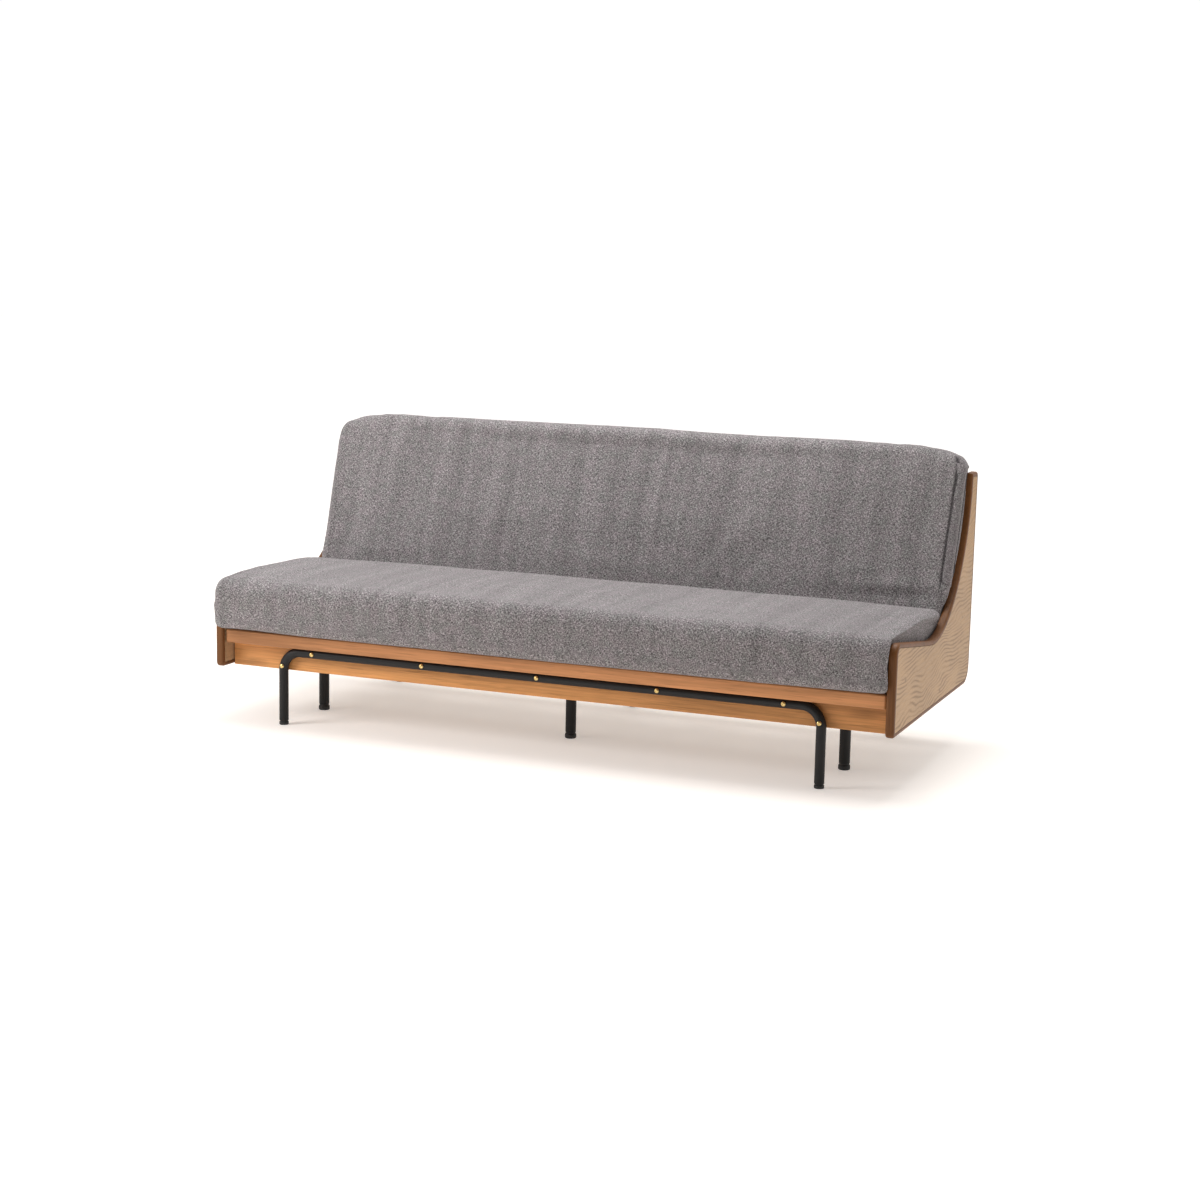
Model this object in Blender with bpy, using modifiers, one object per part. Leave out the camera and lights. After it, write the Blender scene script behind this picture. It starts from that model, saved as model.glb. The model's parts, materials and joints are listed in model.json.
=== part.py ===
"""Futon sofa bed: a fixed frame between two shaped side panels, a seat frame that pulls out
to the front on its own bent tube leg, a seat cushion on it and a loose back cushion.

Metres, +Z up. +X is the right end as someone facing the sofa sees it, -Y is the front.
The origin is on the floor under the middle. Y values below are counted back from the side
panels' front edges, and the function place() turns them into world Y.
"""

import math

import bmesh
import bpy
from mathutils import Matrix, Vector

# Overall
WIDTH = 1.892
PANEL_DEPTH = 0.793
PANEL_TOP = 0.7246
PANEL_BOTTOM = 0.150
FRONT_EDGE_Y = -0.380
GAP = 0.0003

# Side panels
PANEL_THICK = 0.022
PANEL_ARRIS = 0.005
INNER_X = WIDTH / 2 - PANEL_THICK
SEAT_EDGE_FRONT_Z = 0.3819
SEAT_EDGE_LOW = (0.339, 0.334)
SWEEP_TOP = (0.7235, 0.700)
TOP_FRONT_Y = 0.725
FRONT_FOOT_RADIUS = 0.012
FRONT_TOP_RADIUS = 0.030
TOP_FRONT_RADIUS = 0.004
TOP_REAR_RADIUS = 0.012
BOTTOM_REAR_RADIUS = 0.050

# Pull-out seat frame
RAIL_LENGTH = 1.842
RAIL_Y = (0.011, 0.053)
RAIL_Z = (0.217, 0.253)
APRON_LENGTH = 1.843
APRON_Y = (0.053 + GAP, 0.078)
BEAM_TOP = 0.2345
TRAVEL = 0.280
STOP_CLEARANCE = 0.001
BATTEN_SIZE = (1.800, 0.020, 0.0285)

# Slats: thirteen in all, fixed and moving by turns
SLAT_COUNT = 13
SLAT_PITCH = 0.1413
SLAT_WIDTH = 0.060
SLAT_THICK = 0.018
FIXED_SLAT_Y = (0.100, 0.728)
SLAT_END_RADIUS = 0.006

# Tubes, legs and feet
TUBE_RADIUS = 0.0127
TUBE_AXIS_Y = 0.0400
TUBE_AXIS_Z = 0.2026
TUBE_LEG_X = 0.756
TUBE_BEND_RADIUS = 0.052
TUBE_FOOT_TOP = 0.012
LEG_RADIUS = 0.0143
LEG_FOOT_TOP = 0.0165
LEG_PLATE_RADIUS = 0.021
LEG_PLATE_THICK = 0.003
LEG_X = (-0.757, 0.0, 0.757)
FRONT_LEG_Y = 0.256
REAR_LEG_Y = 0.7096

# Bolts on the tube
BOLT_RADIUS = 0.006
BOLT_PROUD = 0.0035
BOLT_PITCH = 0.331
CORNER_BOLT = (0.754, 0.1636)

# Beams and runners of the fixed frame
BEAM_DEPTH = 0.045
BEAM_BOTTOM = 0.170
RUNNER_WIDTH = 0.025
RUNNER_HEIGHT = 0.025

# Seat cushion, as an outline seen from the end
SEAT_HALF_WIDTH = 0.917
SEAT_FRONT_Y = -0.033
SEAT_BOTTOM_Z = RAIL_Z[1] + 0.0008
SEAT_TOP_Z = 0.402
SEAT_REAR_BOTTOM_Y = 0.449
SEAT_REAR_TOP_Y = 0.513
SEAT_FRONT_TOP_RADIUS = 0.045
SEAT_SMALL_RADIUS = 0.018

# Back cushion and the frame behind it share one leaning plane
LEAN = math.radians(22.6)
BACK_FOOT = (0.587, 0.2545)
BACK_LENGTH = 0.551
BACK_THICK = 0.120
BACK_HALF_WIDTH = 0.919
BACK_EDGE_RADIUS = 0.030
BACK_SLAT_COUNT = 5
BACK_SLAT_PITCH = 0.400
BACK_SLAT_WIDTH = 0.070
BACK_SLAT_THICK = 0.015
BACK_SLAT_SPAN = (0.020, 0.455)
BACK_SLAT_CLEAR = 0.004
BACK_RAIL_THICK = 0.022
BACK_RAIL_SPANS = {"back_bottom_rail": (0.035, 0.085), "back_top_rail": (0.375, 0.425)}
ZIP_SPAN = (0.195, 0.490)
ZIP_FROM_REAR = 0.075

CURVE_STEPS = 6


def clear_scene():
    for item in list(bpy.data.objects):
        bpy.data.objects.remove(item, do_unlink=True)


def new_collection(name):
    collection = bpy.data.collections.new(name)
    bpy.context.scene.collection.children.link(collection)
    return collection


def new_material(name, colour, roughness, metallic=0.0):
    material = bpy.data.materials.new(name)
    material.use_nodes = True
    shader = material.node_tree.nodes["Principled BSDF"]
    shader.inputs["Base Color"].default_value = (*colour, 1.0)
    shader.inputs["Roughness"].default_value = roughness
    shader.inputs["Metallic"].default_value = metallic
    material.diffuse_color = (*colour, 1.0)
    return material


def place(x, y, z):
    """World position of a point whose Y is counted back from the panels' front edges."""
    return Vector((x, FRONT_EDGE_Y + y, z))


def new_empty(name, location, lean=0.0):
    empty = bpy.data.objects.new(name, None)
    empty.empty_display_size = 0.1
    empty.location = location
    empty.rotation_euler = (-lean, 0.0, 0.0)
    PARTS.objects.link(empty)
    return empty


def add_object(name, data, material, centre, parent=None):
    """Links an object whose centre is a world position, or a position under its parent."""
    item = bpy.data.objects.new(name, data)
    data.materials.append(material)
    PARTS.objects.link(item)
    item.location = centre
    if parent is not None:
        item.parent = parent
    return item


def local(parent, world):
    """A world position as a location under an empty that isn't turned."""
    return world - parent.location if parent is not None else world


def add_bevel(item, width, segments=1, angle=35.0):
    bevel = item.modifiers.new("arris", "BEVEL")
    bevel.width = width
    bevel.segments = segments
    bevel.limit_method = "ANGLE"
    bevel.angle_limit = math.radians(angle)


def box_mesh(name, size):
    mesh = bpy.data.meshes.new(name)
    shape = bmesh.new()
    bmesh.ops.create_cube(shape, size=1.0)
    bmesh.ops.scale(shape, vec=size, verts=shape.verts)
    shape.to_mesh(mesh)
    shape.free()
    return mesh


def add_board(name, low, high, material, parent=None, arris=0.0015):
    """A rectangular board between two corners, given as (x, y, z) with Y from the front edge."""
    low = place(*low)
    high = place(*high)
    item = add_object(name, box_mesh(name, high - low), material, local(parent, (low + high) / 2), parent)
    add_bevel(item, arris)
    return item


def add_turned(name, profile, material, centre, parent=None, axis="Z", steps=24):
    """A solid of revolution: profile is (radius, height) from the top of the axis to its foot."""
    mesh = bpy.data.meshes.new(name)
    shape = bmesh.new()
    points = [shape.verts.new((radius, 0.0, height)) for radius, height in profile]
    for first, second in zip(points, points[1:]):
        shape.edges.new((first, second))
    shape.to_mesh(mesh)
    shape.free()
    item = add_object(name, mesh, material, centre, parent)
    if axis == "Y":
        item.rotation_euler = (math.radians(90.0), 0.0, 0.0)
    screw = item.modifiers.new("turn", "SCREW")
    screw.steps = steps
    screw.render_steps = steps
    screw.use_merge_vertices = True
    screw.merge_threshold = 0.00005
    screw.use_smooth_shade = True
    return item


def fillet(before, corner, after, radius, steps=CURVE_STEPS):
    """Points of the round that replaces a corner between two straight edges."""
    corner = Vector(corner)
    towards = (Vector(before) - corner).normalized()
    away = (Vector(after) - corner).normalized()
    half = towards.angle(away) / 2
    centre = corner + (towards + away).normalized() * radius / math.sin(half)
    start = corner + towards * radius / math.tan(half) - centre
    turn = math.pi - 2 * half
    sense = 1.0 if towards.cross(away) < 0 else -1.0
    return [centre + Matrix.Rotation(sense * turn * i / steps, 2) @ start for i in range(steps + 1)]


def bezier(start, start_handle, end_handle, end, steps):
    points = []
    for i in range(steps + 1):
        t = i / steps
        weights = ((1 - t) ** 3, 3 * t * (1 - t) ** 2, 3 * t * t * (1 - t), t ** 3)
        corners = (start, start_handle, end_handle, end)
        points.append(sum((Vector(c) * w for c, w in zip(corners, weights)), Vector((0.0, 0.0))))
    return points


def rounded_outline(corners):
    """corners is a list of ((y, z), radius) round a closed outline."""
    points = []
    for i, (corner, radius) in enumerate(corners):
        before = corners[i - 1][0]
        after = corners[(i + 1) % len(corners)][0]
        points += fillet(before, corner, after, radius)
    return points


def side_outline():
    """The side panel from the end: seat edge, sweep up to the narrow top, rounded corners."""
    bottom_front = (0.0, PANEL_BOTTOM)
    top_front = (0.0, SEAT_EDGE_FRONT_Z)
    top = (TOP_FRONT_Y, PANEL_TOP)
    top_rear = (PANEL_DEPTH, PANEL_TOP)
    bottom_rear = (PANEL_DEPTH, PANEL_BOTTOM)
    seat_slope = (Vector(SEAT_EDGE_LOW) - Vector(top_front)).normalized()
    top_slope = Vector((0.06, 1.0)).normalized()
    points = fillet(bottom_rear, bottom_front, top_front, FRONT_FOOT_RADIUS)
    points += fillet(bottom_front, top_front, SEAT_EDGE_LOW, FRONT_TOP_RADIUS)
    points += bezier(
        SEAT_EDGE_LOW,
        Vector(SEAT_EDGE_LOW) + 0.20 * seat_slope,
        Vector(SWEEP_TOP) - 0.19 * top_slope,
        SWEEP_TOP,
        3 * CURVE_STEPS,
    )
    points += fillet(SWEEP_TOP, top, top_rear, TOP_FRONT_RADIUS)
    points += fillet(top, top_rear, bottom_rear, TOP_REAR_RADIUS)
    points += fillet(top_rear, bottom_rear, bottom_front, BOTTOM_REAR_RADIUS)
    return points


def add_profile(name, points, thickness, material, centre, parent=None):
    """A flat outline in the Y-Z plane, thick along X. Points are (y, z) from the centre given."""
    curve = bpy.data.curves.new(name, "CURVE")
    curve.dimensions = "2D"
    curve.fill_mode = "BOTH"
    curve.extrude = thickness / 2
    spline = curve.splines.new("POLY")
    spline.points.add(len(points) - 1)
    for target, (y, z) in zip(spline.points, points):
        target.co = (y, z, 0.0, 1.0)
    spline.use_cyclic_u = True
    item = add_object(name, curve, material, centre, parent)
    item.rotation_euler = (math.radians(90.0), 0.0, math.radians(90.0))
    weld = item.modifiers.new("weld caps", "WELD")
    weld.merge_threshold = 0.00005
    return item


def side_panel(side):
    name = "side_panel_left" if side < 0 else "side_panel_right"
    centre = place(side * (WIDTH - PANEL_THICK) / 2, 0.0, 0.0)
    item = add_profile(name, side_outline(), PANEL_THICK, PANEL_WOOD, centre)
    add_bevel(item, PANEL_ARRIS, segments=2, angle=50.0)


def beams_and_runners():
    for name, y in (("front_beam", FRONT_LEG_Y), ("rear_beam", REAR_LEG_Y)):
        low = (-INNER_X + GAP, y - BEAM_DEPTH / 2, BEAM_BOTTOM)
        high = (INNER_X - GAP, y + BEAM_DEPTH / 2, BEAM_TOP)
        add_board(name, low, high, SLAT_WOOD)
    runner_top = BEAM_TOP - BATTEN_SIZE[2] - GAP
    y_from = FRONT_LEG_Y + BEAM_DEPTH / 2 + GAP
    y_to = REAR_LEG_Y - BEAM_DEPTH / 2 - GAP
    for name, side in (("runner_left", -1), ("runner_right", 1)):
        near = INNER_X - RUNNER_WIDTH
        far = INNER_X - GAP
        x_low, x_high = (near, far) if side > 0 else (-far, -near)
        low = (x_low, y_from, runner_top - RUNNER_HEIGHT)
        add_board(name, low, (x_high, y_to, runner_top), SLAT_WOOD)


def deck_slats(pull_out):
    """Slats run front to back. Odd ones move with the seat frame, even ones stay."""
    batten_front = FRONT_LEG_Y + BEAM_DEPTH / 2 + TRAVEL + STOP_CLEARANCE
    moving_y = (RAIL_Y[1] + GAP, batten_front + BATTEN_SIZE[1])
    z_low = BEAM_TOP + GAP
    for i in range(SLAT_COUNT):
        x = (i - (SLAT_COUNT - 1) / 2) * SLAT_PITCH
        moves = i % 2 == 1
        name = f"seat_slat_{i // 2 + 1}" if moves else f"deck_slat_{i // 2 + 1}"
        y_from, y_to = moving_y if moves else FIXED_SLAT_Y
        low = (x - SLAT_WIDTH / 2, y_from, z_low)
        high = (x + SLAT_WIDTH / 2, y_to, z_low + SLAT_THICK)
        add_board(name, low, high, SLAT_WOOD, pull_out if moves else None)
    half = BATTEN_SIZE[0] / 2
    low = (-half, batten_front, BEAM_TOP - BATTEN_SIZE[2])
    high = (half, batten_front + BATTEN_SIZE[1], BEAM_TOP)
    add_board("rear_batten", low, high, SLAT_WOOD, pull_out)


def front_rails(pull_out):
    half = RAIL_LENGTH / 2
    low = (-half, RAIL_Y[0], RAIL_Z[0])
    high = (half, RAIL_Y[1], RAIL_Z[1])
    add_board("front_rail", low, high, RAIL_WOOD, pull_out, arris=0.003)
    half = APRON_LENGTH / 2
    low = (-half, APRON_Y[0], PANEL_BOTTOM - 0.001)
    high = (half, APRON_Y[1], BEAM_TOP)
    add_board("apron", low, high, APRON_WOOD, pull_out, arris=0.002)


def tube_leg(pull_out):
    """One tube: up from the left foot, round a bend, along the apron, and down again."""
    top = TUBE_AXIS_Z
    corners = ((-TUBE_LEG_X, top), (TUBE_LEG_X, top))
    left_foot = (-TUBE_LEG_X, TUBE_FOOT_TOP)
    right_foot = (TUBE_LEG_X, TUBE_FOOT_TOP)
    path = [Vector(left_foot)]
    path += fillet(left_foot, corners[0], corners[1], TUBE_BEND_RADIUS, steps=8)
    path += fillet(corners[0], corners[1], right_foot, TUBE_BEND_RADIUS, steps=8)
    path.append(Vector(right_foot))
    curve = bpy.data.curves.new("tube_leg", "CURVE")
    curve.dimensions = "3D"
    curve.bevel_depth = TUBE_RADIUS
    curve.bevel_resolution = 7
    curve.use_fill_caps = True
    spline = curve.splines.new("POLY")
    spline.points.add(len(path) - 1)
    for target, (x, z) in zip(spline.points, path):
        target.co = (x, 0.0, z, 1.0)
    item = add_object("tube_leg", curve, BLACK_STEEL, local(pull_out, place(0.0, TUBE_AXIS_Y, 0.0)), pull_out)
    weld = item.modifiers.new("weld caps", "WELD")
    weld.merge_threshold = 0.00005


def tube_feet(pull_out):
    neck = TUBE_RADIUS - 0.0022
    profile = (
        (0.0, TUBE_FOOT_TOP - GAP),
        (neck, TUBE_FOOT_TOP - GAP),
        (neck, 0.0085),
        (TUBE_RADIUS, 0.0080),
        (TUBE_RADIUS, 0.0010),
        (TUBE_RADIUS - 0.0010, 0.0),
        (0.0, 0.0),
    )
    for name, side in (("tube_foot_left", -1), ("tube_foot_right", 1)):
        centre = local(pull_out, place(side * TUBE_LEG_X, TUBE_AXIS_Y, 0.0))
        add_turned(name, profile, FOOT_PLASTIC, centre, pull_out)


def bolts(pull_out):
    """Low domed heads on the front of the tube: five along it and one below each bend."""
    spots = [(i * BOLT_PITCH, TUBE_AXIS_Z) for i in range(-2, 3)]
    spots = [(-CORNER_BOLT[0], CORNER_BOLT[1])] + spots + [CORNER_BOLT]
    profile = (
        (0.0, BOLT_PROUD),
        (BOLT_RADIUS * 0.60, BOLT_PROUD * 0.86),
        (BOLT_RADIUS * 0.92, BOLT_PROUD * 0.45),
        (BOLT_RADIUS, BOLT_PROUD * 0.20),
        (BOLT_RADIUS, 0.0),
        (0.0, 0.0),
    )
    seat_y = TUBE_AXIS_Y - TUBE_RADIUS - GAP
    for number, (x, z) in enumerate(spots, start=1):
        centre = local(pull_out, place(x, seat_y, z))
        add_turned(f"bolt_{number}", profile, BRASS, centre, pull_out, axis="Y", steps=16)


def round_legs():
    """A leg is a tube with a mounting plate welded on its top, and a foot pressed in below."""
    top = BEAM_BOTTOM - GAP
    leg = (
        (0.0, top),
        (LEG_PLATE_RADIUS, top),
        (LEG_PLATE_RADIUS, top - LEG_PLATE_THICK),
        (LEG_RADIUS, top - LEG_PLATE_THICK),
        (LEG_RADIUS, LEG_FOOT_TOP),
        (0.0, LEG_FOOT_TOP),
    )
    foot = (
        (0.0, LEG_FOOT_TOP - GAP),
        (LEG_RADIUS - 0.0012, LEG_FOOT_TOP - GAP),
        (LEG_RADIUS - 0.0012, 0.0125),
        (LEG_RADIUS + 0.0007, 0.0120),
        (LEG_RADIUS + 0.0012, 0.0015),
        (LEG_RADIUS - 0.0003, 0.0),
        (0.0, 0.0),
    )
    rows = (("front", FRONT_LEG_Y), ("rear", REAR_LEG_Y))
    for row, y in rows:
        for end, x in zip(("left", "middle", "right"), LEG_X):
            centre = place(x, y, 0.0)
            add_turned(f"{row}_leg_{end}", leg, BLACK_STEEL, centre)
            add_turned(f"{row}_foot_{end}", foot, FOOT_PLASTIC, centre)


def back_frame():
    """Two rails and the slats in front of them, all parallel to the cushion's rear face."""
    plane = new_empty("back_plane", place(0.0, *BACK_FOOT), LEAN)
    z_from, z_to = BACK_SLAT_SPAN
    slat = (BACK_SLAT_WIDTH, BACK_SLAT_THICK, z_to - z_from)
    for i in range(BACK_SLAT_COUNT):
        x = (i - (BACK_SLAT_COUNT - 1) / 2) * BACK_SLAT_PITCH
        name = f"back_slat_{i + 1}"
        centre = (x, BACK_SLAT_CLEAR + BACK_SLAT_THICK / 2, (z_from + z_to) / 2)
        add_bevel(add_object(name, box_mesh(name, slat), SLAT_WOOD, centre, plane), 0.002)
    for name, (low, high) in BACK_RAIL_SPANS.items():
        size = (2 * (INNER_X - GAP), BACK_RAIL_THICK, high - low)
        y = BACK_SLAT_CLEAR + BACK_SLAT_THICK + GAP + BACK_RAIL_THICK / 2
        centre = (0.0, y, (low + high) / 2)
        add_bevel(add_object(name, box_mesh(name, size), SLAT_WOOD, centre, plane), 0.002)


def seat_cushion(pull_out):
    """The cushion's rear face leans with the back cushion in front of which it ends."""
    outline = rounded_outline(
        [
            ((SEAT_FRONT_Y, SEAT_BOTTOM_Z), SEAT_SMALL_RADIUS),
            ((SEAT_FRONT_Y, SEAT_TOP_Z), SEAT_FRONT_TOP_RADIUS),
            ((SEAT_REAR_TOP_Y, SEAT_TOP_Z), SEAT_SMALL_RADIUS),
            ((SEAT_REAR_BOTTOM_Y, SEAT_BOTTOM_Z), SEAT_SMALL_RADIUS),
        ]
    )
    lift = new_empty("seat_cushion_lift", Vector((0.0, 0.0, SEAT_BOTTOM_Z)) - pull_out.location)
    lift.parent = pull_out
    centre = place(0.0, 0.0, 0.0) - Vector((0.0, 0.0, SEAT_BOTTOM_Z))
    item = add_profile("seat_cushion", outline, 2 * SEAT_HALF_WIDTH, FABRIC, centre, lift)
    add_bevel(item, SEAT_SMALL_RADIUS * 0.8, segments=2, angle=60.0)


def back_cushion():
    """Its parent empty slides up the leaning plane when the cushion is lifted off."""
    lift = new_empty("back_cushion_lift", place(0.0, *BACK_FOOT), LEAN)
    size = (2 * BACK_HALF_WIDTH, BACK_THICK, BACK_LENGTH)
    centre = (0.0, -BACK_THICK / 2, BACK_LENGTH / 2)
    mesh = box_mesh("back_cushion", size)
    item = add_object("back_cushion", mesh, FABRIC, centre, lift)
    add_bevel(item, BACK_EDGE_RADIUS, segments=4)
    z_from, z_to = ZIP_SPAN
    tape = (0.0012, 0.010, z_to - z_from)
    x = BACK_HALF_WIDTH + GAP + tape[0] / 2
    centre = (x, -ZIP_FROM_REAR, (z_from + z_to) / 2)
    add_object("zip_tape", box_mesh("zip_tape", tape), ZIP_BLACK, centre, lift)
    pull = (0.0016, 0.006, 0.022)
    x += (tape[0] + pull[0]) / 2 + GAP
    centre = (x, -ZIP_FROM_REAR, z_from + pull[2])
    item = add_object("zip_pull", box_mesh("zip_pull", pull), ZIP_BLACK, centre, lift)
    add_bevel(item, 0.0005)


clear_scene()
PARTS = new_collection("futon_sofa_bed")
PANEL_WOOD = new_material("panel_wood", (0.36, 0.21, 0.11), 0.55)
RAIL_WOOD = new_material("rail_wood", (0.34, 0.16, 0.08), 0.55)
APRON_WOOD = new_material("apron_wood", (0.47, 0.26, 0.11), 0.50)
SLAT_WOOD = new_material("slat_wood", (0.62, 0.47, 0.30), 0.65)
BLACK_STEEL = new_material("black_steel", (0.012, 0.012, 0.013), 0.38)
BRASS = new_material("brass", (0.72, 0.50, 0.17), 0.28, metallic=1.0)
FOOT_PLASTIC = new_material("foot_plastic", (0.015, 0.015, 0.016), 0.55)
FABRIC = new_material("fabric", (0.17, 0.155, 0.16), 0.95)
ZIP_BLACK = new_material("zip", (0.02, 0.018, 0.02), 0.6)

PULL_OUT = new_empty("pull_out_frame", place(0.0, RAIL_Y[0], BEAM_TOP))

side_panel(-1)
side_panel(1)
beams_and_runners()
deck_slats(PULL_OUT)
front_rails(PULL_OUT)
tube_leg(PULL_OUT)
tube_feet(PULL_OUT)
bolts(PULL_OUT)
round_legs()
back_frame()
seat_cushion(PULL_OUT)
back_cushion()
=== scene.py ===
"""Futon sofa bed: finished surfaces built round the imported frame."""

import contextlib
import json
import math

import bmesh
import bpy
import numpy as np
from mathutils import Matrix, Vector, noise
from mathutils.bvhtree import BVHTree


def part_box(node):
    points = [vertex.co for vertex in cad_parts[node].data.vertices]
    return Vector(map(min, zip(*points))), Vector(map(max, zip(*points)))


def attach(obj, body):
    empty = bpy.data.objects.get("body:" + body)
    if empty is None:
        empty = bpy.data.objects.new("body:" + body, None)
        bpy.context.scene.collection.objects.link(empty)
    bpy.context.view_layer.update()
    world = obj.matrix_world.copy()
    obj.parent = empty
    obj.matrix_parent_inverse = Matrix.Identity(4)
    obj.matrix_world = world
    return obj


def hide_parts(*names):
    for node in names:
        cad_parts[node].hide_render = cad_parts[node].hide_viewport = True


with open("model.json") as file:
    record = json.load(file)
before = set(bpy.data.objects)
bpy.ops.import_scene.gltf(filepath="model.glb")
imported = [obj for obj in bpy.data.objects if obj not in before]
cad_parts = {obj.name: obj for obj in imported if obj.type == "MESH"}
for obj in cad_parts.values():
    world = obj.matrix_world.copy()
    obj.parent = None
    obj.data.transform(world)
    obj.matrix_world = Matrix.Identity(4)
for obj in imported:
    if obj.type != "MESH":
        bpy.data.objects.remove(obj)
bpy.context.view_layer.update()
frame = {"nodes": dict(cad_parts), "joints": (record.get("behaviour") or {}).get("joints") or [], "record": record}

bl_info = {
    "name": "Futon sofa bed",
    "version": (1, 0, 0),
    "blender": (4, 5, 0),
    "location": "3D View > Sidebar > Sofa bed",
    "description": "Builds the cushions, panels, legs and finishes of a futon sofa bed",
    "category": "Object",
}

LEAN = math.atan2(*frame["joints"][2]["axis"][1:])
SLOT_OF = {part["node"]: part["material_slot"] for part in frame["record"]["subparts"]}
BODY_OF = {
    node: body
    for body, nodes in frame["record"]["behaviour"]["bodies"].items()
    for node in nodes
}


# ---------------------------------------------------------------- settings


def length_property(name, description, default):
    return bpy.props.FloatProperty(
        name=name, description=description, default=default, unit="LENGTH")


def colour_property(name, description, default):
    return bpy.props.FloatVectorProperty(
        name=name, description=description, default=default, subtype="COLOR")


class SofaSizes(bpy.types.PropertyGroup):
    """Sizes of the details that the frame doesn't hold."""

    lipping_width: length_property(
        "Lipping width", "Width of the solid edge round a side panel", 0.011)
    lipping_radius: length_property("Lipping radius", "Rounding of the lipping's arrises", 0.0064)
    joint_line: length_property(
        "Joint line", "Width of the fine line between lipping and panel", 0.0010)
    seam_depth: length_property("Seam depth", "How far a cushion's end seam pulls in", 0.0035)
    seat_crown: length_property(
        "Seat crown", "How far the seat cushion's top rises in its middle", 0.006)
    back_crown: length_property(
        "Back crown", "How far the back cushion's top edge rises in its middle", 0.007)
    puff: length_property("Puff", "How far the stuffing may push the cover out", 0.010)


class SofaColours(bpy.types.PropertyGroup):
    """Colours of the finishes, linear."""

    yarn_light: colour_property("Light yarn", "Palest yarn of the tweed", (0.465, 0.435, 0.431))
    yarn_middle: colour_property(
        "Middle yarn", "Most common yarn of the tweed", (0.185, 0.167, 0.169))
    yarn_dark: colour_property("Dark yarn", "Darkest yarn of the tweed", (0.053, 0.046, 0.048))
    panel: colour_property("Panel wood", "Side panel's face", (0.46, 0.290, 0.160))
    # The lipping colour is its wood's own tone with painted shade in it, darkened to the front edge as it looks in
    # shade.
    panel_edge: colour_property(
        "Lipping wood", "Solid edge round the side panel", (0.155, 0.060, 0.017))
    rail: colour_property("Rail wood", "Upper front rail", (0.53, 0.237, 0.098))
    apron: colour_property("Apron wood", "Lower front board", (0.56, 0.255, 0.088))
    slats: colour_property("Slat wood", "Slats, beams and runners", (0.58, 0.42, 0.25))
    steel: colour_property("Black steel", "Powder coat on the tubes", (0.0095, 0.0090, 0.0090))
    brass: colour_property("Brass", "Bolt heads", (0.80, 0.60, 0.25))


# ---------------------------------------------------------------- materials


class Signal:
    """A shader socket that can stand in a Python expression. Each operator adds a Math node."""

    def __init__(self, finish, socket):
        self.finish = finish
        self.socket = socket

    def maths(self, operation, *values):
        sockets = dict(enumerate(values))
        return self.finish.add("ShaderNodeMath", {"operation": operation}, sockets)

    def __add__(self, other):
        return self.maths("ADD", self, other)

    __radd__ = __add__

    def __sub__(self, other):
        return self.maths("SUBTRACT", self, other)

    def __rsub__(self, other):
        return self.maths("SUBTRACT", other, self)

    def __mul__(self, other):
        return self.maths("MULTIPLY", self, other)

    __rmul__ = __mul__

    def __pow__(self, other):
        return self.maths("POWER", self, other)

    def sine(self):
        return self.maths("SINE", self)

    def step(self, low, high):
        """0 below low, 1 above high, smooth between."""
        settings = {"interpolation_type": "SMOOTHSTEP"}
        sockets = {"Value": self, "From Min": low, "From Max": high}
        return self.finish.add("ShaderNodeMapRange", settings, sockets)


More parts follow.
